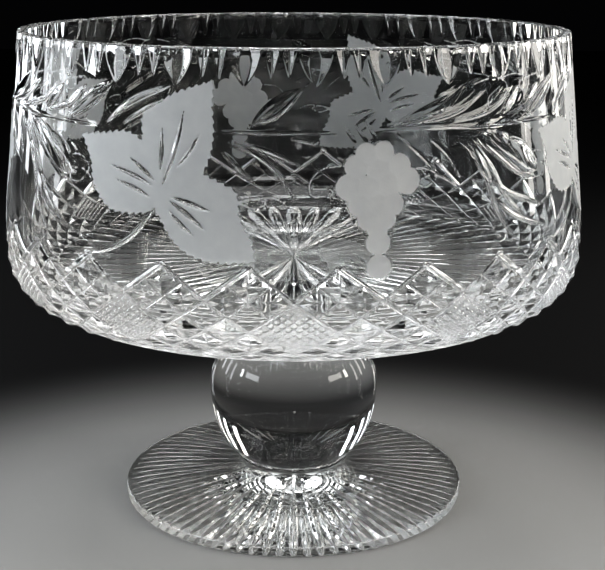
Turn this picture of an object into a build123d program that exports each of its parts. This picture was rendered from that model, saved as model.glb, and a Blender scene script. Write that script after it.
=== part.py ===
"""Footed punch bowl in cut crystal glass: bowl, bond layer, ball stem, merese ring and foot.

Millimetres, +Z up. The origin is the centre of the foot's resting face, and -Y is the front.
Every profile below is half of a section, drawn in the XZ plane and revolved about Z.
"""
from build123d import *

import os
from math import asin, atan2, degrees, radians, tan

# ------------------------------------------------------------------ driving dimensions
front_angle = -90.0

# bowl, outside, from the middle of the base up to the rim
base_height = 111.2
base_flat_radius = 105.2
base_curve_radius = 80.0
base_curve_sweep = 20.0
shoulder_radius = 28.0
belly_curve_radius = 282.0
belly_curve_sweep = 6.6
rim_radius = 140.0
rim_height = 253.5

# bowl, inside, from the middle of the floor up to the rim
floor_height = 132.5
floor_flat_radius = 123.5
inner_shoulder_radius = 21.0
inner_belly_sweep = 5.5
rim_wall = 4.0
rim_rounding = 0.8

# two narrow flutes and a wide one, thirty times round the rim; angles are within a group
flute_groups = 30
narrow_flute_angles = (-3.7, -0.8)
narrow_wheel_radius = 4.6
narrow_flute_depth = 1.5
narrow_flute_length = 12.5
wide_flute_angle = 3.75
wide_wheel_radius = 11.0
wide_flute_depth = 2.0
wide_flute_length = 15.5
flute_wheel_length = 36.0

# star cut in the bowl's base, outside the seat for the stem, with long and short rays in turn
star_pairs = 28
long_star_inner_radius = 28.0
short_star_inner_radius = 46.0
star_outer_radius = 110.0
long_star_depth = 1.2
short_star_depth = 0.9

# stem and its clear adhesive film
bond_thickness = 0.3
seat_radius = 25.0
knop_radius = 46.1
knop_height = 59.0
knop_top_curve = 42.0
knop_top_sweep = 62.0
neck_curve = 7.0
neck_sweep = 98.0
knop_side_curve = 65.0
knop_side_sweep = 23.0
knop_tuck_curve = 34.0
knop_tuck_sweep = 26.0

# merese ring between the ball and the foot
merese_radius = 30.5
merese_thickness = 3.4
merese_rounding = 1.6

# foot
foot_radius = 93.7
foot_edge_height = 5.5
foot_edge_rounding = 1.0
foot_boss_radius = 29.5
foot_boss_height = 17.0
foot_recess_radius = 86.0
foot_recess_depth = 0.8

# rays cut in the foot's underside, long and short in turn
foot_ray_pairs = 40
long_ray_inner_radius = 31.0
short_ray_inner_radius = 54.0
ray_outer_radius = 89.0
long_ray_depth = 1.9
short_ray_depth = 1.2

# every mitre wheel has the same V-shaped edge, and enters the glass from just below its surface
mitre_half_angle = 55.0
mitre_entry = 0.3

os.makedirs("parts", exist_ok=True)


def mitre_wheel(inner_radius, outer_radius, depth):
    """The edge of a V-shaped wheel that cuts up from Z = 0 along +X, between two radii, to a depth."""
    half_chord = (outer_radius - inner_radius) / 2
    middle = inner_radius + half_chord
    wheel_radius = half_chord**2 / (2 * depth)
    half_sweep = degrees(asin((half_chord + mitre_entry) / wheel_radius))
    edge_depth = depth + mitre_entry
    half_width = edge_depth * tan(radians(mitre_half_angle))
    wheel_axis = Axis((middle, 0, depth - wheel_radius), (0, 1, 0))
    with BuildPart() as wheel:
        with BuildSketch(Plane.YZ.offset(middle)):
            with BuildLine():
                Polyline((0, depth), (half_width, -mitre_entry), (-half_width, -mitre_entry), close=True)
            make_face()
        revolve(axis=wheel_axis, revolution_arc=half_sweep)
        mirror(about=Plane.YZ.offset(middle))
    return wheel.part


def flute_place(wheel_radius, depth, length):
    """Where a flute's wheel stands: it leans in from the wall, so that the flute runs out below the rim."""
    lean = wall_lean + degrees(atan2(depth, length))
    return Location((rim_radius - depth + wheel_radius, 0, rim_height), (0, -lean, 0))


# ------------------------------------------------------------------ bowl
with BuildPart() as bowl:
    with BuildSketch(Plane.XZ):
        with BuildLine():
            base = Line((0, base_height), (base_flat_radius, base_height))
            base_curve = JernArc(base @ 1, base % 1, base_curve_radius, base_curve_sweep)
            shoulder = JernArc(base_curve @ 1, base_curve % 1, shoulder_radius, 90 - base_curve_sweep)
            belly = JernArc(shoulder @ 1, shoulder % 1, belly_curve_radius, belly_curve_sweep)
            Line(belly @ 1, (rim_radius, rim_height))
            Line((rim_radius, rim_height), (rim_radius - rim_wall, rim_height))
            floor = Line((0, floor_height), (floor_flat_radius, floor_height))
            inner_shoulder = JernArc(floor @ 1, floor % 1, inner_shoulder_radius, 90)
            inner_belly = JernArc(
                inner_shoulder @ 1, inner_shoulder % 1, belly_curve_radius, inner_belly_sweep
            )
            Line(inner_belly @ 1, (rim_radius - rim_wall, rim_height))
            Line((0, base_height), (0, floor_height))
        make_face()
    revolve(axis=Axis.Z)
    rim_edges = bowl.edges().group_by(Axis.Z)[-1]
    fillet(rim_edges, radius=rim_rounding)

    belly_top = belly @ 1
    wall_lean = degrees(atan2(belly_top.X - rim_radius, rim_height - belly_top.Z))
    for angle in narrow_flute_angles:
        with PolarLocations(0, flute_groups, start_angle=front_angle + angle):
            with Locations(flute_place(narrow_wheel_radius, narrow_flute_depth, narrow_flute_length)):
                Cylinder(narrow_wheel_radius, flute_wheel_length, mode=Mode.SUBTRACT)
    with PolarLocations(0, flute_groups, start_angle=front_angle + wide_flute_angle):
        with Locations(flute_place(wide_wheel_radius, wide_flute_depth, wide_flute_length)):
            Cylinder(wide_wheel_radius, flute_wheel_length, mode=Mode.SUBTRACT)

    # The star's wheels cut up into the base.
    long_star_ray = mitre_wheel(long_star_inner_radius, star_outer_radius, long_star_depth)
    short_star_ray = mitre_wheel(short_star_inner_radius, star_outer_radius, short_star_depth)
    with Locations((0, 0, base_height)):
        with PolarLocations(0, star_pairs, start_angle=front_angle):
            add(long_star_ray, mode=Mode.SUBTRACT)
        with PolarLocations(0, star_pairs, start_angle=front_angle + 180.0 / star_pairs):
            add(short_star_ray, mode=Mode.SUBTRACT)
bowl.part.label = "bowl"
export_step(bowl.part, "parts/bowl.step")

# ------------------------------------------------------------------ bond layer
with BuildPart() as bond_layer:
    with BuildSketch(Plane.XY.offset(base_height - bond_thickness)):
        Circle(seat_radius)
    extrude(amount=bond_thickness)
bond_layer.part.label = "bond_layer"
export_step(bond_layer.part, "parts/bond_layer.step")

# ------------------------------------------------------------------ stem
merese_top = foot_boss_height + merese_thickness
with BuildPart() as stem_knop:
    with BuildSketch(Plane.XZ):
        with BuildLine():
            knop_top = JernArc((knop_radius, knop_height), (0, 1), knop_top_curve, knop_top_sweep)
            neck = JernArc(knop_top @ 1, knop_top % 1, neck_curve, -neck_sweep)
            seat_edge = Line(neck @ 1, (seat_radius, base_height - bond_thickness))
            seat = Line(seat_edge @ 1, (0, base_height - bond_thickness))
            knop_side = JernArc((knop_radius, knop_height), (0, -1), knop_side_curve, -knop_side_sweep)
            knop_tuck = JernArc(knop_side @ 1, knop_side % 1, knop_tuck_curve, -knop_tuck_sweep)
            tuck_edge = Line(knop_tuck @ 1, (merese_radius - merese_rounding, merese_top))
            underside = Line(tuck_edge @ 1, (0, merese_top))
            Line(underside @ 1, seat @ 1)
        make_face()
    revolve(axis=Axis.Z)
stem_knop.part.label = "stem_knop"
export_step(stem_knop.part, "parts/stem_knop.step")

# ------------------------------------------------------------------ merese
with BuildPart() as merese:
    with BuildSketch(Plane.XY.offset(foot_boss_height)):
        Circle(merese_radius)
    extrude(amount=merese_thickness)
    fillet(merese.edges().filter_by(GeomType.CIRCLE), radius=merese_rounding)
merese.part.label = "merese"
export_step(merese.part, "parts/merese.step")

# ------------------------------------------------------------------ foot
with BuildPart() as foot:
    with BuildSketch(Plane.XZ):
        with BuildLine():
            Polyline(
                (0, foot_recess_depth),
                (foot_recess_radius, 0),
                (foot_radius, 0),
                (foot_radius, foot_edge_height),
                (foot_boss_radius, foot_boss_height),
                (0, foot_boss_height),
                close=True,
            )
        make_face()
    revolve(axis=Axis.Z)
    edge_circles = foot.faces().filter_by(GeomType.CYLINDER).edges().filter_by(GeomType.CIRCLE)
    fillet(edge_circles, radius=foot_edge_rounding)
    with PolarLocations(0, foot_ray_pairs, start_angle=front_angle):
        add(mitre_wheel(long_ray_inner_radius, ray_outer_radius, long_ray_depth), mode=Mode.SUBTRACT)
    half_pitch = 180.0 / foot_ray_pairs
    with PolarLocations(0, foot_ray_pairs, start_angle=front_angle + half_pitch):
        add(mitre_wheel(short_ray_inner_radius, ray_outer_radius, short_ray_depth), mode=Mode.SUBTRACT)
foot.part.label = "foot"
export_step(foot.part, "parts/foot.step")
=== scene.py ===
import math

import bpy
import numpy as np
from mathutils import Matrix, Vector


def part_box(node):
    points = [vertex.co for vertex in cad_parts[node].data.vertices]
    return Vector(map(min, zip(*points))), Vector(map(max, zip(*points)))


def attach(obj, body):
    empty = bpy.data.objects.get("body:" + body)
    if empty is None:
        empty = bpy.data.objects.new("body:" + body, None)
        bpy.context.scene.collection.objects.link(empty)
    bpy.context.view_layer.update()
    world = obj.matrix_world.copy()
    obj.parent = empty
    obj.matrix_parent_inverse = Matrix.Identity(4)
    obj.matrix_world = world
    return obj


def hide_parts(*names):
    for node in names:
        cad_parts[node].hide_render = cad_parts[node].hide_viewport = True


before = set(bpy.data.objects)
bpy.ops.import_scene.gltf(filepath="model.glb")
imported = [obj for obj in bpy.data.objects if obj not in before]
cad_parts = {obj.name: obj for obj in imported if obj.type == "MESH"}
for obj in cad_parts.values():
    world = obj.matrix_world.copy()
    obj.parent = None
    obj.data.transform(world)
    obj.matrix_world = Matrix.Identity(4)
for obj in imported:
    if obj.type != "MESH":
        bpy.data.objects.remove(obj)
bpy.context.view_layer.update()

MM = 0.001
BODY = "root"

# ---------------------------------------------------------------- sizes, in millimetres
RIM_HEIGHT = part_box("bowl")[1].z / MM
BASE_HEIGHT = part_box("bowl")[0].z / MM
RIM_RADIUS = 140.0
RIM_WALL = 4.0
RIM_ROUNDING = 0.8
FLOOR_HEIGHT = 132.5

# Mesh steps round the bowl and down its wall.
COLUMNS = 1920
ROW_STEP = 0.5

# The vine is laid out on a cylinder of this radius, and repeats every quarter turn.
REPEATS = 4
ORNAMENT_RADIUS = 146.0
MM_PER_DEGREE = math.radians(1) * ORNAMENT_RADIUS
QUARTER = 360.0 / REPEATS * MM_PER_DEGREE

FAR = 1e9
TINY = 1e-6


# ---------------------------------------------------------------- profiles of revolution
class Profile:
    """A half section made of lines and tangent arcs, read by the distance along it.

    A step is (length, 0) for a line, or (radius, degrees turned) for an arc.
    """

    def __init__(self, start, heading, steps):
        self.steps = []
        point, angle, length = np.array(start, float), math.radians(heading), 0.0
        for size, sweep in steps:
            turn = math.radians(sweep)
            span = size * abs(turn) if turn else size
            self.steps.append((length, point.copy(), angle, size, turn))
            point = self._walk(point, angle, size, turn, np.array([span]))[0][0]
            angle += turn
            length += span
        self.length = length
        self.end = point

    @staticmethod
    def _walk(point, angle, size, turn, along):
        if not turn:
            heading = np.full(along.shape, angle)
            offset = np.stack([np.cos(heading), np.sin(heading)], -1) * along[..., None]
            return point + offset, heading
        side = math.copysign(1.0, turn)
        heading = angle + side * along / size
        offset = np.stack(
            [
                side * size * (np.sin(heading) - math.sin(angle)),
                side * size * (math.cos(angle) - np.cos(heading)),
            ],
            -1,
        )
        return point + offset, heading

    def at(self, along):
        """Radius-height points and headings at these distances along the profile."""
        along = np.asarray(along, float)
        points = np.zeros(along.shape + (2,))
        headings = np.zeros(along.shape)
        for start, point, angle, size, turn in self.steps:
            here = along >= start - 1e-9
            walked, heading = self._walk(point, angle, size, turn, along[here] - start)
            points[here] = walked
            headings[here] = heading
        return points, headings


def line_to(profile_steps, start, target):
    """Length of the last straight step, from the end of these steps to a target point."""
    end = Profile(start, 0.0, profile_steps).end
    return float(np.hypot(*(np.array(target) - end)))


# Steps of the bowl's sections: flat middle, edge curve (outside only), shoulder, belly, then the wall.
BELLY_CURVE = 282.0
outer_steps = [(105.2, 0.0), (80.0, 20.0), (28.0, 70.0), (BELLY_CURVE, 6.6)]
outer_start = (0.0, BASE_HEIGHT)
outer_steps.append((line_to(outer_steps, outer_start, (RIM_RADIUS, RIM_HEIGHT)), 0.0))
OUTER = Profile(outer_start, 0.0, outer_steps)

inner_steps = [(123.5, 0.0), (21.0, 90.0), (BELLY_CURVE, 5.5)]
inner_start = (0.0, FLOOR_HEIGHT)
inner_rim = (RIM_RADIUS - RIM_WALL, RIM_HEIGHT)
inner_steps.append((line_to(inner_steps, inner_start, inner_rim), 0.0))
INNER = Profile(inner_start, 0.0, inner_steps)


# ---------------------------------------------------------------- cut shapes on the wall
# Places on the wall are (degrees right of the front, millimetres down from the rim).
def on_wall(places):
    return np.array([(angle * MM_PER_DEGREE, down) for angle, down in places], float)


def curve_through(points, count=28):
    """A smooth open curve through a few points (Catmull-Rom)."""
    points = np.asarray(points, float)
    padded = np.vstack([2 * points[0] - points[1], points, 2 * points[-1] - points[-2]])
    spans = len(points) - 1
    result = []
    for t in np.linspace(0, spans, count):
        i = min(int(t), spans - 1)
        u = t - i
        a, b, c, d = padded[i : i + 4]
        result.append(
            0.5 * (2 * b + (c - a) * u + (2 * a - 5 * b + 4 * c - d) * u**2
                   + (3 * b - a - 3 * c + d) * u**3)
        )
    return np.array(result)


def wrapped(x, centre):
    """x moved by whole quarter turns so that it is nearest to centre."""
    return centre + (x - centre + QUARTER / 2) % QUARTER - QUARTER / 2


def window(x, s, low, high, margin):
    """The points near a motif, with x moved next to it."""
    centre = (low[0] + high[0]) / 2
    moved = wrapped(x, centre)
    near = (
        (moved > low[0] - margin) & (moved < high[0] + margin)
        & (s > low[1] - margin) & (s < high[1] + margin)
    )
    return near, moved[near], s[near]


def stroke_distance(x, s, path):
    """Distance to a path, and the share of its length at the nearest point."""
    best = np.full(x.shape, FAR)
    share = np.zeros(x.shape)
    legs = np.diff(path, axis=0)
    lengths = np.hypot(legs[:, 0], legs[:, 1])
    total = lengths.sum()
    walked = 0.0
    for start, leg, length in zip(path[:-1], legs, lengths):
        t = ((x - start[0]) * leg[0] + (s - start[1]) * leg[1]) / max(length**2, TINY**2)
        t = np.clip(t, 0, 1)
        distance = np.hypot(x - start[0] - t * leg[0], s - start[1] - t * leg[1])
        nearer = distance < best
        best[nearer] = distance[nearer]
        share[nearer] = (walked + t[nearer] * length) / total
        walked += length
    return best, share


def lens(share, fullest):
    """Relative width of a wheel cut along its length: pointed at both ends."""
    rising = np.clip(share / fullest, 0, 1)
    falling = np.clip((1 - share) / (1 - fullest), 0, 1)
    part = np.where(share < fullest, rising, falling)
    return part * (2 - part)


def cut_stroke(depth, x, s, places, width, deep, fullest=0.5, hollow=False):
    """A mitre (V section) or hollow (round section) wheel cut along a curve."""
    path = curve_through(on_wall(places))
    near, nx, ns = window(x, s, path.min(0), path.max(0), width)
    distance, share = stroke_distance(nx, ns, path)
    half = np.maximum(width / 2 * lens(share, fullest), TINY)
    part = np.clip(1 - distance / half, 0, 1)
    if hollow:
        part = part * (2 - part)
    cut = deep * part * np.minimum(half / (width / 2), 1)
    depth[near] = np.maximum(depth[near], cut)


def polygon_distance(x, s, outline):
    """Signed distance to a closed outline, negative inside."""
    best = np.full(x.shape, FAR)
    inside = np.zeros(x.shape, bool)
    for a, b in zip(outline, np.roll(outline, -1, axis=0)):
        leg = b - a
        t = ((x - a[0]) * leg[0] + (s - a[1]) * leg[1]) / max(leg @ leg, TINY**2)
        t = np.clip(t, 0, 1)
        best = np.minimum(best, np.hypot(x - a[0] - t * leg[0], s - a[1] - t * leg[1]))
        if a[1] != b[1]:
            crosses = ((a[1] > s) != (b[1] > s)) & (
                x < (b[0] - a[0]) * (s - a[1]) / (b[1] - a[1]) + a[0]
            )
            inside ^= crosses
    return np.where(inside, -best, best)


TOOTH_PITCH, TOOTH_HEIGHT = 3.6, 1.1
# Corners of one saw tooth: share of the pitch, share of the height outwards from the edge.
TOOTH_CORNERS = ((0.12, -0.3), (0.88, 0.7), (1.0, -0.3))


def serrated(stretch):
    """A stretch of leaf edge with saw teeth that lean towards its end."""
    path = curve_through(stretch, 60)
    legs = np.hypot(*np.diff(path, axis=0).T)
    along = np.concatenate([[0], np.cumsum(legs)])

    def place(where):
        return np.array([np.interp(where, along, path[:, 0]), np.interp(where, along, path[:, 1])])

    teeth = max(2, round(along[-1] / TOOTH_PITCH))
    result = [path[0]]
    for k in range(teeth):
        for part, height in TOOTH_CORNERS:
            where = (k + part) / teeth * along[-1]
            tangent = place(min(where + 0.5, along[-1])) - place(max(where - 0.5, 0))
            tangent /= np.hypot(*tangent)
            outward = np.array([tangent[1], -tangent[0]])
            result.append(place(where) + outward * TOOTH_HEIGHT * height)
    result[-1] = path[-1]
    return np.array(result)


# Vine leaf: six stretches of saw-toothed edge, clockwise as seen from outside.
LEAF_STRETCHES = [
    [(-26.4, 40.8), (-26.5, 28.5), (-23.0, 22.6), (-19.6, 18.4), (-13.7, 13.6)],
    [(-13.7, 13.6), (-13.9, 24.0), (-13.6, 36.0), (-14.2, 46.0), (-15.4, 52.4)],
    [(-15.4, 52.4), (-12.0, 56.0), (-9.5, 59.8), (-8.9, 70.0), (-7.0, 80.0), (-6.4, 88.5)],
    [(-6.4, 88.5), (-13.0, 89.3), (-17.5, 86.4), (-20.6, 80.0), (-23.4, 69.2)],
    [(-23.4, 69.2), (-28.0, 71.2), (-33.0, 70.0), (-36.6, 60.5), (-37.5, 50.5), (-39.9, 39.6)],
    [(-39.9, 39.6), (-34.6, 38.2), (-30.8, 36.5), (-28.0, 37.8), (-26.4, 40.8)],
]
# Veins of the leaf, clear mitres through its frosting: places, width.
LEAF_VEINS = [
    ([(-22.9, 61.5), (-20.3, 42.0), (-18.5, 22.9)], 3.48),
    ([(-22.9, 54.0), (-22.8, 42.0), (-22.8, 31.7)], 3.19),
    ([(-20.2, 51.3), (-17.4, 42.0), (-15.6, 34.2)], 2.9),
    ([(-23.6, 59.4), (-28.0, 55.0), (-34.0, 50.8)], 3.19),
    ([(-23.4, 57.8), (-26.0, 52.5), (-29.6, 46.4)], 2.9),
    ([(-24.0, 64.3), (-28.0, 60.2), (-32.6, 57.0)], 2.9),
    ([(-21.3, 62.6), (-17.5, 65.0), (-13.0, 68.4)], 3.19),
    ([(-21.7, 63.5), (-18.0, 69.5), (-14.0, 77.3)], 3.48),
    ([(-21.7, 67.5), (-19.0, 74.0), (-16.0, 79.8)], 2.9),
]
VEIN_DEPTH, VEIN_FULLEST = 1.2, 0.45
# Grapes: degrees, millimetres down, radius.
GRAPES = [
    (12.0, 43.6, 4.8), (15.0, 43.1, 4.7), (10.3, 48.8, 5.1), (14.0, 50.1, 5.3), (17.7, 48.8, 5.1),
    (9.0, 57.3, 5.6), (12.2, 57.8, 5.3), (15.7, 57.0, 5.3), (19.0, 55.4, 5.8), (10.8, 64.8, 5.0),
    (13.7, 65.4, 5.2), (16.3, 64.8, 5.2), (12.2, 70.8, 4.8), (15.0, 70.8, 4.8), (13.7, 75.0, 4.5),
    (13.8, 80.9, 5.2), (13.9, 91.2, 5.2),
]
# Mitre cuts: places, width, depth, where along it the cut is fullest.
MITRES = [
    ([(-22.6, 64.0), (-25.0, 72.0), (-28.0, 81.0), (-33.3, 88.7), (-41.0, 92.5)], 2.2, 0.8, 0.4),
    ([(-62.0, 34.5), (-50.0, 34.6), (-40.0, 34.9), (-32.0, 35.6)], 2.0, 0.8, 0.3),
    ([(-12.5, 34.5), (0.0, 34.6), (9.0, 34.4)], 1.2, 0.55, 0.15),
    ([(13.0, 34.0), (30.0, 33.8), (44.0, 33.4), (53.0, 32.2)], 1.1, 0.5, 0.4),
    ([(7.5, 29.6), (10.5, 39.4)], 0.7, 0.35, 0.6),
    ([(9.5, 29.9), (12.5, 39.4)], 0.7, 0.35, 0.6),
    ([(11.5, 29.2), (14.3, 39.0)], 0.7, 0.35, 0.6),
    ([(-12.5, 41.0), (-9.5, 48.5), (-6.2, 56.0)], 1.2, 0.5, 0.5),
    ([(-12.0, 38.0), (-6.5, 43.5), (-2.5, 51.5), (0.5, 63.0)], 1.4, 0.6, 0.45),
    ([(-11.0, 38.2), (-5.0, 41.5), (1.3, 48.2)], 1.3, 0.6, 0.5),
    ([(-1.6, 36.4), (1.5, 37.8), (5.2, 40.2)], 1.1, 0.5, 0.5),
    ([(16.5, 35.6), (21.0, 43.5), (25.0, 54.0)], 1.1, 0.5, 0.5),
    ([(22.5, 36.4), (26.6, 45.0), (29.6, 56.5)], 1.1, 0.5, 0.5),
    ([(28.0, 36.6), (32.3, 47.0), (36.2, 62.5)], 1.1, 0.5, 0.5),
    ([(30.7, 36.6), (36.0, 52.0), (40.0, 68.0), (46.5, 82.0)], 2.0, 0.8, 0.45),
    ([(30.0, 37.5), (34.5, 56.0), (37.5, 74.0), (42.0, 88.0)], 1.8, 0.7, 0.5),
    ([(32.0, 37.5), (38.0, 48.5), (44.0, 58.5), (49.0, 61.0)], 1.8, 0.8, 0.45),
    ([(32.5, 36.4), (40.0, 40.8), (46.0, 47.2), (49.3, 56.0)], 1.8, 0.8, 0.5),
    ([(34.5, 55.0), (41.0, 66.0), (50.0, 74.0)], 1.8, 0.8, 0.45),
    ([(36.0, 66.0), (42.0, 76.5), (50.5, 84.0)], 1.8, 0.8, 0.45),
    ([(-34.5, 34.5), (-29.0, 23.5), (-20.7, 15.4)], 2.6, 0.9, 0.5),
    ([(-31.0, 34.0), (-26.5, 27.0), (-21.5, 21.5)], 1.8, 0.8, 0.5),
    ([(-45.0, 33.6), (-40.0, 23.5), (-33.5, 15.4)], 2.6, 0.9, 0.5),
    ([(-8.0, 31.5), (-3.0, 27.5), (1.8, 15.6)], 2.6, 0.9, 0.5),
    ([(15.3, 32.4), (24.0, 27.0), (31.0, 15.8)], 2.8, 1.0, 0.55),
    ([(18.0, 32.6), (29.0, 27.5), (36.5, 17.5)], 2.2, 0.9, 0.5),
    ([(27.0, 32.4), (37.0, 27.5), (43.0, 17.5)], 2.2, 0.9, 0.5),
    ([(38.0, 32.0), (46.0, 27.0), (51.0, 18.0)], 2.2, 0.9, 0.5),
    ([(-51.5, 31.0), (-49.0, 26.0), (-46.5, 20.0)], 3.4, 1.0, 0.5),
]
# Hollow leaf-shaped cuts: places, width, depth, where the cut is fullest.
HOLLOWS = [
    ([(36.2, 37.0), (39.5, 42.0), (42.8, 49.0)], 7.0, 1.1, 0.55),
    ([(31.6, 40.5), (33.8, 50.0), (36.4, 62.5)], 5.2, 1.0, 0.5),
    ([(39.2, 30.6), (41.6, 25.0), (44.2, 19.0)], 5.0, 1.0, 0.5),
    ([(35.5, 38.5), (42.5, 48.0), (48.8, 57.5)], 13.0, 1.3, 0.62),
    ([(-7.5, 32.5), (-3.6, 24.0), (1.4, 16.0)], 5.6, 0.8, 0.5),
    ([(-44.5, 33.5), (-39.5, 26.5), (-33.5, 17.5)], 6.0, 0.8, 0.5),
    ([(17.0, 31.5), (25.5, 25.0), (31.0, 16.5)], 6.0, 0.8, 0.55),
    ([(45.0, 30.0), (48.0, 24.0), (50.5, 18.5)], 5.0, 0.9, 0.5),
]
# Tendrils, engraved as thin frosted lines.
TENDRILS = [
    [
        (33.0, 16.6), (36.5, 14.8), (39.8, 15.4), (41.0, 19.5),
        (39.0, 24.5), (36.6, 27.4), (36.2, 23.0), (39.0, 18.6),
    ],
    [
        (39.5, 15.0), (43.0, 13.6), (47.0, 15.5), (47.2, 20.0),
        (45.2, 20.8), (44.6, 17.6), (47.0, 15.8), (50.0, 14.5),
    ],
    [
        (-43.5, 58.0), (-42.8, 50.0), (-39.6, 49.5), (-38.0, 54.5), (-40.2, 60.5),
        (-42.6, 60.0), (-42.2, 55.6), (-39.2, 55.0), (-37.2, 58.5),
    ],
    [(-9.5, 65.0), (-6.8, 62.0), (-4.6, 63.6), (-6.6, 66.0), (-9.0, 63.2), (-4.0, 61.4), (-1.5, 63.5)],
    [(8.0, 48.2), (4.6, 49.5), (2.6, 55.0), (3.0, 60.5), (5.8, 61.0), (6.0, 58.0), (3.2, 57.6)],
    [(19.5, 51.0), (22.0, 50.6), (24.6, 54.0), (22.6, 58.6), (21.0, 56.4), (24.0, 53.8), (28.5, 59.5)],
]
TENDRIL_WIDTH = 0.55

# The frosting lies a little below the wall, with a short ramp at its edge, and each grape is a dimple.
FROST_DEPTH, FROST_RAMP = 0.14, 0.4
GRAPE_DIMPLE = 0.16
# How far round the ornament its distance is worked out, and the distance everywhere else.
FROST_MARGIN, BEYOND_FROST = 2.0, 9.0


def leaf_outline():
    return np.vstack([serrated(on_wall(stretch))[:-1] for stretch in LEAF_STRETCHES])


def frost_distance(x, s):
    """Signed distance to the frosted ornament: the leaf, the grapes and the tendrils."""
    best = np.full(x.shape, BEYOND_FROST)
    outline = leaf_outline()
    near, nx, ns = window(x, s, outline.min(0), outline.max(0), FROST_MARGIN)
    best[near] = np.minimum(best[near], polygon_distance(nx, ns, outline))
    for angle, down, radius in GRAPES:
        centre = np.array([angle * MM_PER_DEGREE, down])
        near, nx, ns = window(x, s, centre, centre, radius + FROST_MARGIN)
        best[near] = np.minimum(best[near], np.hypot(nx - centre[0], ns - centre[1]) - radius)
    for places in TENDRILS:
        path = curve_through(on_wall(places), 70)
        near, nx, ns = window(x, s, path.min(0), path.max(0), FROST_MARGIN)
        distance, _ = stroke_distance(nx, ns, path)
        best[near] = np.minimum(best[near], distance - TENDRIL_WIDTH / 2)
    return best


def stroke_depth(x, s):
    """Depth of the clear mitre and hollow cuts of the vine."""
    depth = np.zeros(x.shape)
    for places, width, deep, fullest in MITRES:
        cut_stroke(depth, x, s, places, width, deep, fullest)
    for places, width in LEAF_VEINS:
        cut_stroke(depth, x, s, places, width, VEIN_DEPTH, VEIN_FULLEST)
    for places, width, deep, fullest in HOLLOWS:
        cut_stroke(depth, x, s, places, width, deep, fullest, hollow=True)
    return depth


def frost_depth(x, s, distance):
    """Depth of the frosted ornament."""
    depth = FROST_DEPTH * np.clip(-distance / FROST_RAMP, 0, 1)
    for angle, down, radius in GRAPES:
        centre = np.array([angle * MM_PER_DEGREE, down])
        near, nx, ns = window(x, s, centre, centre, radius)
        reach = np.hypot(nx - centre[0], ns - centre[1]) / radius
        dimple = FROST_DEPTH + GRAPE_DIMPLE * np.clip(1 - reach**2, 0, 1)
        depth[near] = np.maximum(depth[near], np.where(reach < 1, dimple, 0))
    return depth


# ---------------------------------------------------------------- cuts that go round the bowl
# Angles are in degrees from the front, and s is millimetres down from the rim.
FLUTE_PERIOD = 12.0
NARROW_FLUTES = (-3.7, -0.8)
NARROW_WIDTH, NARROW_DEPTH, NARROW_LENGTH = 6.8, 1.75, 13.0
WIDE_FLUTE = 3.6
WIDE_WIDTH, WIDE_DEPTH, WIDE_LENGTH = 14.2, 2.3, 16.0
WIDE_SIDE_SLOPE = 0.40


def nearest(angle, centre, period):
    """Angle from the nearest repeat of centre."""
    return (angle - centre + period / 2) % period - period / 2


def flute_depth(angle, s):
    """Pointed narrow flutes in pairs, and one wide flute with three facets, in turn round the rim."""
    scale = math.radians(1) * RIM_RADIUS
    depth = np.zeros(angle.shape)
    for centre in NARROW_FLUTES:
        across = np.abs(nearest(angle, centre, FLUTE_PERIOD)) * scale / (NARROW_WIDTH / 2)
        depth = np.maximum(depth, NARROW_DEPTH * (1 - s / NARROW_LENGTH - across))
    across = np.abs(nearest(angle, WIDE_FLUTE, FLUTE_PERIOD)) * scale
    half = WIDE_WIDTH / 2 * (1 - (s / WIDE_LENGTH) ** 2)
    side = WIDE_SIDE_SLOPE * (half - across)
    middle = WIDE_DEPTH * (1 - s / WIDE_LENGTH)
    return np.maximum(depth, np.minimum(side, middle))


# The lattice: degrees to a diamond, top of its upper points, half a diamond's height, where it ends.
LATTICE_PITCH = 15.0
LATTICE_TOP = 92.5
LATTICE_STEP = 14.2
LATTICE_END = 149.0
LATTICE_FADE = 2.0
MAIN_HALF, MAIN_DEPTH = 1.25, 2.4
SECOND_HALF, SECOND_DEPTH = 1.0, 2.2
PYRAMID_DEPTH = 1.5
HATCH_LINES = 4
HATCH_START, HATCH_DEPTH = 0.2, 1.3


def lattice_depth(angle, s, radius):
    """Crossed mitres round the shoulder; each large diamond holds four small pyramids or a fine hatch."""
    per_degree = math.radians(1) * radius
    slope = LATTICE_PITCH / 2 / LATTICE_STEP
    square = per_degree / np.sqrt(1 + (slope * per_degree) ** 2)
    peak = LATTICE_PITCH / 2
    half_cell = peak * square / 2
    zigzag = LATTICE_TOP + LATTICE_STEP * np.abs(nearest(angle, peak, LATTICE_PITCH)) / peak
    below = s > zigzag
    edge = s > zigzag - MAIN_HALF * 1.8
    across = [angle + side * slope * (s - LATTICE_TOP) - peak for side in (1, -1)]
    cell = [np.floor(value / LATTICE_PITCH) for value in across]
    # Every second diamond of one row is hatched.
    hatched = (cell[0] - cell[1] == 2) & ((cell[0] + cell[1]) % 4 == 2)
    depth = np.zeros(angle.shape)
    for value in across:
        main = np.abs(nearest(value, 0, LATTICE_PITCH)) * square
        second = np.abs(nearest(value, peak, LATTICE_PITCH)) * square
        side = np.minimum(main, second) / half_cell
        fine = peak / HATCH_LINES
        hatch = np.abs(nearest(value, fine / 2, fine)) / fine * 2
        depth = np.maximum(depth, MAIN_DEPTH * (1 - main / MAIN_HALF) * edge)
        depth = np.maximum(depth, SECOND_DEPTH * (1 - second / SECOND_HALF) * (below & ~hatched))
        depth = np.maximum(depth, PYRAMID_DEPTH * (1 - side) * (below & ~hatched))
        depth = np.maximum(depth, (HATCH_START + HATCH_DEPTH * (1 - hatch)) * (below & hatched))
    return depth * np.clip((LATTICE_END - s) / LATTICE_FADE, 0, 1)


# Radius where the star ends, and the length over which its rays run out.
STAR_END, STAR_TAPER = 129.0, 9.0
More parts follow.
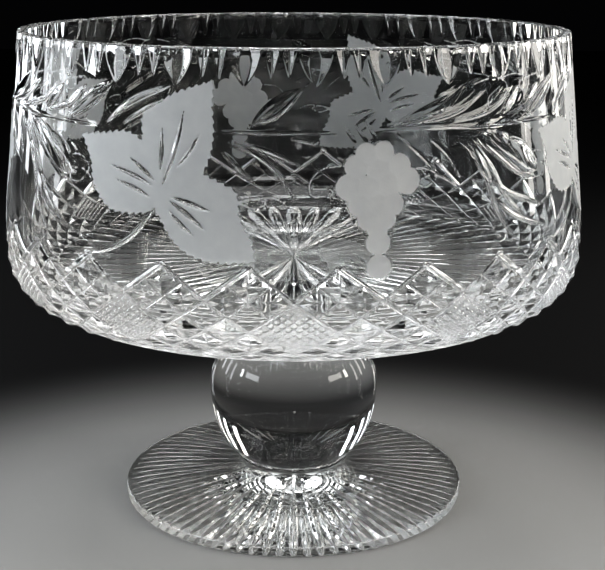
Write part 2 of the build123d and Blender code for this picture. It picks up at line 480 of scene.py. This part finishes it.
# Ray sets of the star: count, first ray in degrees, inner end, how fast it widens, greatest half width.
STAR_RAYS = [
    (28, 0.0, 0.0, 0.112, 5.4),
    (28, 180 / 28, 12.0, 0.10, 4.4),
]
# Depth to half width at the middle of a ray, and how hollow its two sides are (1 is flat).
STAR_SLOPE, STAR_HOLLOW = 0.75, 1.5


def star_depth(angle, radius):
    """Mitre rays that meet at the middle of the base, with shorter rays between them."""
    scale = math.radians(1) * radius
    end = np.sqrt(np.clip((STAR_END - radius) / STAR_TAPER, 0, 1))
    depth = np.zeros(angle.shape)
    for count, first, inner, widening, widest in STAR_RAYS:
        across = np.abs(nearest(angle, first, 360 / count)) * scale
        half = np.clip((radius - inner) * widening, 0, widest)
        part = np.clip(1 - across / np.maximum(half, TINY), 0, 1)
        depth = np.maximum(depth, STAR_SLOPE * half * part**STAR_HOLLOW * end)
    return depth


# ---------------------------------------------------------------- mesh helpers
def ring_mesh(name, rings, materials, tip_low, tip_high, face_material=None):
    """A closed mesh from rings of points (rows x columns x 3, metres), with a fan to a tip at either end."""
    rows, columns, _ = rings.shape
    vertices = np.vstack([rings.reshape(-1, 3), tip_low, tip_high])
    index = np.arange(rows * columns).reshape(rows, columns)
    a = index[:-1]
    b = np.roll(a, -1, axis=1)
    d = index[1:]
    c = np.roll(d, -1, axis=1)
    quads = np.stack([a, b, c, d], -1).reshape(-1, 4)
    low = np.full(columns, rows * columns)
    high = low + 1
    triangles = np.vstack([
        np.stack([low, np.roll(index[0], -1), index[0]], -1),
        np.stack([high, index[-1], np.roll(index[-1], -1)], -1),
    ])
    mesh = bpy.data.meshes.new(name)
    mesh.vertices.add(len(vertices))
    mesh.vertices.foreach_set("co", vertices.astype(np.float32).ravel())
    corners = np.concatenate([quads.ravel(), triangles.ravel()]).astype(np.int32)
    mesh.loops.add(len(corners))
    mesh.loops.foreach_set("vertex_index", corners)
    starts = np.concatenate([
        np.arange(len(quads)) * 4,
        len(quads) * 4 + np.arange(len(triangles)) * 3,
    ]).astype(np.int32)
    mesh.polygons.add(len(starts))
    mesh.polygons.foreach_set("loop_start", starts)
    if face_material is not None:
        slots = np.zeros(len(starts), np.int32)
        slots[: len(quads)] = face_material.ravel()
        mesh.polygons.foreach_set("material_index", slots)
    mesh.polygons.foreach_set("use_smooth", np.ones(len(starts), bool))
    for material in materials:
        mesh.materials.append(material)
    mesh.update(calc_edges=True)
    mesh.validate()
    piece = bpy.data.objects.new(name, mesh)
    bpy.context.scene.collection.objects.link(piece)
    return piece


def turned(points, angles):
    """Rings from radius-height points (rows x columns x 2) and angles from the front, in metres."""
    radius, height = points[..., 0], points[..., 1]
    turn = np.radians(angles)
    return np.stack([radius * np.sin(turn), -radius * np.cos(turn), height], -1) * MM


# ---------------------------------------------------------------- materials
# Noise scales are in waves to the metre, and reliefs in metres.
CRYSTAL_IOR = 1.545
SMEAR_SCALE, POLISH_SCALE = 22.0, 60.0
FROST_IOR = 1.5
FROST_TRANSMISSION = 0.45
SPECKLE_SCALE, CLOUD_SCALE = 1400.0, 160.0
FROST_RELIEF = 0.00004


def nodes_of(name):
    """A new material, its node tree and its Principled shader."""
    material = bpy.data.materials.new(name)
    material.use_nodes = True
    tree = material.node_tree
    return material, tree, tree.nodes["Principled BSDF"]


def grain(tree, scale, detail):
    """Noise that is fixed to the piece, with its size set in waves to the metre."""
    place = tree.nodes.new("ShaderNodeTexCoord").outputs["Object"]
    noise = tree.nodes.new("ShaderNodeTexNoise")
    noise.inputs["Scale"].default_value = scale
    noise.inputs["Detail"].default_value = detail
    tree.links.new(place, noise.inputs["Vector"])
    return noise.outputs["Fac"]


def spread(tree, value, low, high):
    """A value from 0 to 1 mapped on to a range."""
    node = tree.nodes.new("ShaderNodeMapRange")
    node.inputs["To Min"].default_value = low
    node.inputs["To Max"].default_value = high
    tree.links.new(value, node.inputs["Value"])
    return node.outputs["Result"]


def relief(tree, shader, height, distance):
    """Fine surface relief from a height between 0 and 1."""
    bump = tree.nodes.new("ShaderNodeBump")
    bump.inputs["Strength"].default_value = 1.0
    bump.inputs["Distance"].default_value = distance
    tree.links.new(height, bump.inputs["Height"])
    tree.links.new(bump.outputs["Normal"], shader.inputs["Normal"])


def crystal(name, tint, wave, smear):
    """Polished colourless crystal, with the faint waviness and smear of polishing by hand."""
    material, tree, shader = nodes_of(name)
    shader.inputs["Base Color"].default_value = (*tint, 1)
    shader.inputs["IOR"].default_value = CRYSTAL_IOR
    shader.inputs["Transmission Weight"].default_value = 1.0
    tree.links.new(spread(tree, grain(tree, SMEAR_SCALE, 2.0), 0.0, smear), shader.inputs["Roughness"])
    relief(tree, shader, grain(tree, POLISH_SCALE, 1.0), wave)
    return material


def frosted(name):
    """Etched crystal: white-grey, evenly scattering, with a fine grain."""
    material, tree, shader = nodes_of(name)
    shader.inputs["IOR"].default_value = FROST_IOR
    shader.inputs["Transmission Weight"].default_value = FROST_TRANSMISSION
    speckle = grain(tree, SPECKLE_SCALE, 3.0)
    tree.links.new(spread(tree, speckle, 0.50, 0.74), shader.inputs["Roughness"])
    tone = tree.nodes.new("ShaderNodeMix")
    tone.data_type = "RGBA"
    tone.inputs["A"].default_value = (0.70, 0.72, 0.74, 1)
    tone.inputs["B"].default_value = (0.88, 0.90, 0.90, 1)
    tree.links.new(grain(tree, CLOUD_SCALE, 4.0), tone.inputs["Factor"])
    tree.links.new(tone.outputs["Result"], shader.inputs["Base Color"])
    relief(tree, shader, speckle, FROST_RELIEF)
    return material


CLEAR = crystal("cut_crystal", (0.985, 0.992, 0.99), 0.00002, 0.02)
FROST = frosted("frosted_crystal")
BOND = crystal("clear_bond", (0.99, 0.99, 0.985), 0.00001, 0.05)


# ---------------------------------------------------------------- pieces
def show(piece, node):
    """Put a piece on the part's body, in place of one CAD node."""
    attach(piece, BODY)
    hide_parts(node)


# Rows of the bowl's outside: coarse from this radius on the base, then fine this far down from the rim.
BASE_START = 3.0
COARSE_ROWS = 130
FINE_REACH = 152.0
# Rows of its inner wall, from just below the rim's rounding to this radius on the floor.
INNER_ROWS = 70
INNER_GAP = 0.6
FLOOR_START = 4.0
# The base's middle stands this far above the CAD face, inside the star.
BASE_TIP = 0.05
# Points this near a frosted edge (in rows), and this far below the rim, slide onto it.
SLIDE_REACH = 0.45
SLIDE_TOP = 8.0
LEAST_STEEPNESS = 0.3
# A clear cut deeper than this takes the frosting away.
CLEARED_DEPTH = 0.16


def vine_quarter(angle, down):
    """One quarter of the vine: its points slid onto the frosted edges, their depths and frost distances."""
    x = angle * MM_PER_DEGREE
    s = down
    distance = frost_distance(x, s)
    x_step = MM_PER_DEGREE * 360.0 / COLUMNS
    across = (np.roll(distance, -1, axis=1) - np.roll(distance, 1, axis=1)) / (2 * x_step)
    up = np.gradient(distance, axis=0) / np.minimum(np.gradient(s, axis=0), -TINY)
    steep = np.maximum(across**2 + up**2, LEAST_STEEPNESS)
    close = (np.abs(distance) < SLIDE_REACH * ROW_STEP) & (s > SLIDE_TOP)
    x = x + np.where(close, -distance * across / steep, 0)
    s = s + np.where(close, -distance * up / steep, 0)
    distance = frost_distance(x, s)
    clear_cut = stroke_depth(x, s)
    depth = np.maximum(clear_cut, frost_depth(x, s, distance))
    frost = np.where(clear_cut > CLEARED_DEPTH, 1.0, distance)
    return x / MM_PER_DEGREE, s, depth, frost


def rim_rings(corner):
    """The rounded rim, from the top ring of the outer wall over to the inner wall."""
    rings = []
    for turn in np.radians([30.0, 60.0, 90.0]):
        offset = [-RIM_ROUNDING * (1 - math.cos(turn)), -RIM_ROUNDING * (1 - math.sin(turn))]
        rings.append(corner + offset)
    inner_corner = np.array([RIM_RADIUS - RIM_WALL, RIM_HEIGHT])
    for turn in np.radians([90.0, 60.0, 30.0, 0.0]):
        offset = [RIM_ROUNDING * (1 - math.cos(turn)), -RIM_ROUNDING * (1 - math.sin(turn))]
        rings.append(np.broadcast_to(inner_corner + offset, corner.shape))
    return np.array(rings)


def make_bowl():
    total = OUTER.length
    along = np.concatenate([
        np.linspace(BASE_START, total - FINE_REACH, COARSE_ROWS, endpoint=False),
        np.arange(total - FINE_REACH, total, ROW_STEP),
        [total],
    ])
    columns = np.arange(COLUMNS) * 360.0 / COLUMNS
    first_quarter = columns[: COLUMNS // REPEATS]
    down = np.repeat((total - along)[:, None], len(first_quarter), axis=1)
    angle, down, depth, frost = vine_quarter(np.broadcast_to(first_quarter, down.shape), down)
    angle = np.concatenate([angle + 360.0 / REPEATS * k for k in range(REPEATS)], axis=1)
    down, depth, frost = (np.tile(values, (1, REPEATS)) for values in (down, depth, frost))

    points, heading = OUTER.at(total - down)
    radius = points[..., 0]
    depth = np.maximum(depth, flute_depth(angle, down))
    depth = np.maximum(depth, lattice_depth(angle, down, radius))
    depth = np.maximum(depth, star_depth(angle, radius))
    normal = np.stack([np.sin(heading), -np.cos(heading)], -1)
    outside = points - normal * depth[..., None]
    rim = rim_rings(outside[-1])
    outside[-1, :, 1] -= RIM_ROUNDING

    inner_along = np.linspace(INNER.length - RIM_ROUNDING - INNER_GAP, FLOOR_START, INNER_ROWS)
    inside, _ = INNER.at(inner_along)
    inside = np.broadcast_to(inside[:, None, :], (INNER_ROWS, COLUMNS, 2))

    everything = np.concatenate([outside, rim, inside], axis=0)
    ring_angles = np.broadcast_to(columns, everything.shape[:2]).copy()
    ring_angles[: len(along)] = angle
    face_frost = np.zeros((len(everything) - 1, COLUMNS), np.int32)
    beside = np.roll(frost, -1, axis=1)
    face_frost[: len(along) - 1] = frost[:-1] + frost[1:] + beside[:-1] + beside[1:] < 0
    low = (0, 0, (BASE_HEIGHT + BASE_TIP) * MM)
    high = (0, 0, FLOOR_HEIGHT * MM)
    rings = turned(everything, ring_angles)
    show(ring_mesh("crystal_bowl", rings, [CLEAR, FROST], low, high, face_frost), "bowl")


def make_turned(name, outline, columns, material, node):
    """A smooth turned piece from its closed half section, which starts and ends on the axis."""
    outline = np.asarray(outline, float)
    body = outline[1:-1]
    points = np.broadcast_to(body[:, None, :], (len(body), columns, 2))
    angles = np.broadcast_to(np.arange(columns) * 360.0 / columns, points.shape[:2])
    low = (0, 0, outline[0, 1] * MM)
    high = (0, 0, outline[-1, 1] * MM)
    show(ring_mesh(name, turned(points, angles), [material], low, high), node)


def sampled(profile, count):
    """Evenly spaced points along a profile."""
    return profile.at(np.linspace(0, profile.length, count))[0]


# Neighbouring glass pieces overlap, so that no film of air shows between them.
OVERLAP = 0.05
SEAT_RADIUS = 25.0
BOND_CHAMFER = 0.05
STEM_CHAMFER = 0.3
BOND_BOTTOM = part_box("bond_layer")[0].z / MM
KNOP_RADIUS = 46.1
KNOP_HEIGHT = 59.0
STEM_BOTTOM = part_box("stem_knop")[0].z / MM
STEM_BOTTOM_RADIUS = 28.9
MERESE_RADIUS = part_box("merese")[1].x / MM
MERESE_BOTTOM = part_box("merese")[0].z / MM
MERESE_ROUNDING = 1.6
TURNED_COLUMNS = 256


def make_bond():
    top = BASE_HEIGHT + OVERLAP
    outline = [
        (0, BOND_BOTTOM),
        (SEAT_RADIUS / 2, BOND_BOTTOM),
        (SEAT_RADIUS - BOND_CHAMFER, BOND_BOTTOM),
        (SEAT_RADIUS, BOND_BOTTOM + BOND_CHAMFER),
        (SEAT_RADIUS, top - BOND_CHAMFER),
        (SEAT_RADIUS - BOND_CHAMFER, top),
        (SEAT_RADIUS / 2, top),
        (0, top),
    ]
    make_turned("clear_bond_film", outline, 128, BOND, "bond_layer")


def make_stem():
    # From the ball's widest ring, two arcs go down to the merese and two go up to the seat.
    down = Profile((KNOP_RADIUS, KNOP_HEIGHT), -90.0, [(65.0, -23.0), (34.0, -26.0)])
    up = Profile((KNOP_RADIUS, KNOP_HEIGHT), 90.0, [(42.0, 62.0), (7.0, -98.0)])
    seat = BOND_BOTTOM + OVERLAP
    foot_end = STEM_BOTTOM - OVERLAP
    outline = np.vstack([
        [(0, foot_end), (14, foot_end), (STEM_BOTTOM_RADIUS - 0.4, foot_end)],
        [(STEM_BOTTOM_RADIUS, STEM_BOTTOM + STEM_CHAMFER)],
        sampled(down, 60)[::-1],
        sampled(up, 80)[1:],
        [(SEAT_RADIUS, seat - STEM_CHAMFER), (SEAT_RADIUS - STEM_CHAMFER, seat), (13, seat), (0, seat)],
    ])
    make_turned("ball_stem", outline, TURNED_COLUMNS, CLEAR, "stem_knop")


def make_merese():
    top = STEM_BOTTOM
    bottom = MERESE_BOTTOM - OVERLAP
    middle_radius = MERESE_RADIUS - MERESE_ROUNDING
    turns = np.radians(np.linspace(-90, 90, 17))
    height = (top - bottom) / 2
    bulge = np.stack([
        middle_radius + MERESE_ROUNDING * np.cos(turns),
        (top + bottom) / 2 + height * np.sin(turns),
    ], -1)
    outline = np.vstack([[(0, bottom), (15, bottom)], bulge, [(15, top), (0, top)]])
    make_turned("merese_ring", outline, TURNED_COLUMNS, CLEAR, "merese")


FOOT_RADIUS = 93.7
FOOT_EDGE = 5.5
FOOT_ROUNDING = 1.0
FOOT_BOSS_RADIUS = 29.5
FOOT_RECESS_RADIUS, FOOT_RECESS = 86.0, 0.8
FOOT_COLUMNS = 1280
# Rays under the foot: how many of each set, where they end, and where they are fullest.
FOOT_RAYS = 40
FOOT_RAY_PITCH = 360.0 / FOOT_RAYS
FOOT_RAY_END, FOOT_RAY_FULLEST = 91.0, 0.76
FOOT_RAY_SLOPE = 0.95
# The two sets: first ray in degrees, inner radius, half width.
FOOT_RAY_SETS = [(0.0, 27.0, 2.1), (FOOT_RAY_PITCH / 2, 50.0, 1.8)]


def foot_depth(angle, radius):
    """Depth of the rays, which are pointed at both ends."""
    scale = math.radians(1) * radius
    depth = np.zeros(angle.shape)
    for centre, inner, half in FOOT_RAY_SETS:
        share = np.clip((radius - inner) / (FOOT_RAY_END - inner), 0, 1)
        width = half * lens(share, FOOT_RAY_FULLEST)
        across = np.abs(nearest(angle, centre, FOOT_RAY_PITCH)) * scale
        depth = np.maximum(depth, FOOT_RAY_SLOPE * (width - across))
    return depth


def make_foot():
    top = MERESE_BOTTOM
    edge_middle = FOOT_RADIUS - FOOT_ROUNDING
    under = np.concatenate([np.linspace(10, 26, 6, endpoint=False), np.linspace(26, edge_middle, 110)])
    columns = np.arange(FOOT_COLUMNS) * 360.0 / FOOT_COLUMNS
    radius = np.broadcast_to(under[:, None], (len(under), FOOT_COLUMNS))
    angle = np.broadcast_to(columns, radius.shape)
    recess = FOOT_RECESS * np.clip(1 - radius / FOOT_RECESS_RADIUS, 0, 1)
    bottom = np.stack([radius, recess + foot_depth(angle, radius)], -1)
    edge = []
    for height, turns in ((FOOT_ROUNDING, (-60, -30, 0)), (FOOT_EDGE - FOOT_ROUNDING, (0, 30, 60))):
        for turn in np.radians(turns):
            edge.append((
                edge_middle + FOOT_ROUNDING * math.cos(turn),
                height + FOOT_ROUNDING * math.sin(turn),
            ))
    cone = np.linspace((FOOT_RADIUS - 1.2, FOOT_EDGE + 0.05), (FOOT_BOSS_RADIUS, top), 24)
    cap = [(20.0, top), (8.0, top)]
    plain = np.vstack([edge, cone, cap])
    plain = np.broadcast_to(plain[:, None, :], (len(plain), FOOT_COLUMNS, 2))
    everything = np.concatenate([bottom, plain], axis=0)
    rings = turned(everything, np.broadcast_to(columns, everything.shape[:2]))
    low = (0, 0, FOOT_RECESS * MM)
    high = (0, 0, top * MM)
    show(ring_mesh("star_cut_foot", rings, [CLEAR], low, high), "foot")


make_bowl()
make_bond()
make_stem()
make_merese()
make_foot()


# ---------------------------------------------------------------- floor, light and camera
# Metres from here on.
FLOOR_REACH = 3.0
FLOOR_DROP = 0.0002
# A pool of light painted into the floor's colour, centred in front of the bowl's axis, and the distances
# over which it fades into painted shade.
LIGHT_POOL_MIDDLE = (0.0, -0.12, 0.0)
LIGHT_POOL_START, LIGHT_POOL_END = 0.12, 0.37
# Floor colour inside the painted pool of light, and the painted shade that it fades to outside the pool.
PALE = (0.30, 0.30, 0.295, 1)
PAINTED_SHADE = (0.002, 0.002, 0.0022, 1)


def math_node(tree, kind, operation, *inputs):
    """A math node fed by sockets or plain values."""
    node = tree.nodes.new(kind)
    node.operation = operation
    for socket, value in zip(node.inputs, inputs):
        if isinstance(value, bpy.types.NodeSocket):
            tree.links.new(value, socket)
        else:
            socket.default_value = value
    return node


def make_floor():
    """A floor with a painted pool of light: pale near the bowl, falling into painted shade away from it."""
    mesh = bpy.data.meshes.new("floor")
    corners = [(x * FLOOR_REACH, y * FLOOR_REACH, 0) for x, y in ((-1, -1), (1, -1), (1, 1), (-1, 1))]
    mesh.from_pydata(corners, [], [(0, 1, 2, 3)])
    floor = bpy.data.objects.new("floor", mesh)
    floor.location.z = -FLOOR_DROP
    bpy.context.scene.collection.objects.link(floor)
    material, tree, shader = nodes_of("floor_painted_light_pool")
    place = tree.nodes.new("ShaderNodeNewGeometry").outputs["Position"]
    offset = math_node(tree, "ShaderNodeVectorMath", "SUBTRACT", place, LIGHT_POOL_MIDDLE).outputs["Vector"]
    reach = math_node(tree, "ShaderNodeVectorMath", "LENGTH", offset).outputs["Value"]
    fade = tree.nodes.new("ShaderNodeMapRange")
    fade.interpolation_type = "SMOOTHERSTEP"
    fade.inputs["From Min"].default_value = LIGHT_POOL_START
    fade.inputs["From Max"].default_value = LIGHT_POOL_END
    fade.inputs["To Min"].default_value = 0.0
    fade.inputs["To Max"].default_value = 1.0
    tree.links.new(reach, fade.inputs["Value"])
    # Painted shade: the floor colour darkens with distance from the middle of the painted pool of light.
    shade = tree.nodes.new("ShaderNodeMix")
    shade.data_type = "RGBA"
    tree.links.new(fade.outputs["Result"], shade.inputs["Factor"])
    shade.inputs["A"].default_value = PALE
    shade.inputs["B"].default_value = PAINTED_SHADE
    tree.links.new(shade.outputs["Result"], shader.inputs["Base Color"])
    shader.inputs["Roughness"].default_value = 0.85
    shader.inputs["Specular IOR Level"].default_value = 0.1
    mesh.materials.append(material)


def area_light(name, place, target, size, power, colour):
    """A rectangular light that the camera doesn't see."""
    data = bpy.data.lights.new(name, "AREA")
    data.shape = "RECTANGLE"
    data.size, data.size_y = size
    data.energy = power
    data.color = colour
    light = bpy.data.objects.new(name, data)
    light.location = place
    light.rotation_euler = (Vector(target) - Vector(place)).to_track_quat("-Z", "Y").to_euler()
    light.visible_camera = False
    bpy.context.scene.collection.objects.link(light)


WHITE = (1.0, 1.0, 1.0)
# Softboxes round the bowl: degrees from the front, middle height, width, height, watts, colour.
SOFTBOXES = [
    (-62, 0.68, 0.42, 0.66, 4.8, (0.93, 0.97, 1.0)),
    (62, 0.68, 0.42, 0.66, 4.8, (1.0, 0.96, 0.90)),
    (-80, 0.44, 0.08, 0.30, 1.3, (0.95, 0.98, 1.0)),
    (80, 0.44, 0.08, 0.30, 1.3, (1.0, 0.97, 0.9)),
    (14, 0.95, 0.50, 0.30, 2.0, WHITE),
]
LIGHT_REACH = 1.0
# Upright strips at the sides, behind the bowl's middle: degrees and colour, cool left and warm right.
STRIPS = [(turn, (0.93, 0.96, 1.0)) for turn in range(-144, -95, 12)]
STRIPS += [(turn, (1.0, 0.97, 0.92)) for turn in range(96, 145, 12)]
STRIP_WIDTH = 0.06
STRIP_BOTTOM, STRIP_TOP = 0.10, 0.54
STRIP_POWER = 14.0  # watts to the square metre


def round_the_bowl(turn, height):
    """A light's place, from its degrees round from the front and its height."""
    angle = math.radians(turn)
    return (LIGHT_REACH * math.sin(angle), -LIGHT_REACH * math.cos(angle), height)


def make_lights():
    middle = (0, 0, 0.2)
    for number, (turn, height, width, tall, power, colour) in enumerate(SOFTBOXES):
        area_light(f"softbox_{number}", round_the_bowl(turn, height), middle, (width, tall), power, colour)
    tall = STRIP_TOP - STRIP_BOTTOM
    power = STRIP_POWER * STRIP_WIDTH * tall
    for number, (turn, colour) in enumerate(STRIPS):
        place = round_the_bowl(turn, STRIP_BOTTOM + tall / 2)
        area_light(f"strip_{number}", place, middle, (STRIP_WIDTH, tall), power, colour)
    area_light("behind_above", (0, 0.62, 1.05), middle, (0.9, 0.30), 5.6, WHITE)
    area_light("overhead", (0, 0.05, 1.35), middle, (1.0, 1.0), 4.5, WHITE)
    world = bpy.data.worlds.new("studio")
    world.use_nodes = True
    world.node_tree.nodes["Background"].inputs["Color"].default_value = (0.0015, 0.0015, 0.0017, 1)
    bpy.context.scene.world = world


# The camera: radians down, to the right and rolled anticlockwise, then its place, sensor and lens.
CAMERA_PITCH, CAMERA_YAW, CAMERA_ROLL = 0.2651, 0.0071, 0.0037
CAMERA_PLACE = (0, -0.66198, 0.29494)
SENSOR_WIDTH, FOCAL_LENGTH = 36.0, 74.88


def make_camera():
    level = math.cos(CAMERA_PITCH)
    forward = Vector((math.sin(CAMERA_YAW) * level, math.cos(CAMERA_YAW) * level, -math.sin(CAMERA_PITCH)))
    right = Vector((math.cos(CAMERA_YAW), -math.sin(CAMERA_YAW), 0))
    up = right.cross(forward)
    right, up = (
        right * math.cos(CAMERA_ROLL) + up * math.sin(CAMERA_ROLL),
        up * math.cos(CAMERA_ROLL) - right * math.sin(CAMERA_ROLL),
    )
    data = bpy.data.cameras.new("camera")
    data.sensor_width = SENSOR_WIDTH
    data.lens = FOCAL_LENGTH
    camera = bpy.data.objects.new("camera", data)
    rotation = Matrix((right, up, -forward)).transposed()
    camera.matrix_world = Matrix.Translation(CAMERA_PLACE) @ rotation.to_4x4()
    bpy.context.scene.collection.objects.link(camera)
    bpy.context.scene.camera = camera


make_floor()
make_lights()
make_camera()

scene = bpy.context.scene
scene.cycles.max_bounces = 24
scene.cycles.transmission_bounces = 24
scene.cycles.glossy_bounces = 12
scene.cycles.diffuse_bounces = 4
scene.cycles.use_denoising = True
scene.view_settings.view_transform = "Standard"
scene.view_settings.look = "Medium High Contrast"
scene.view_settings.exposure = 0.2
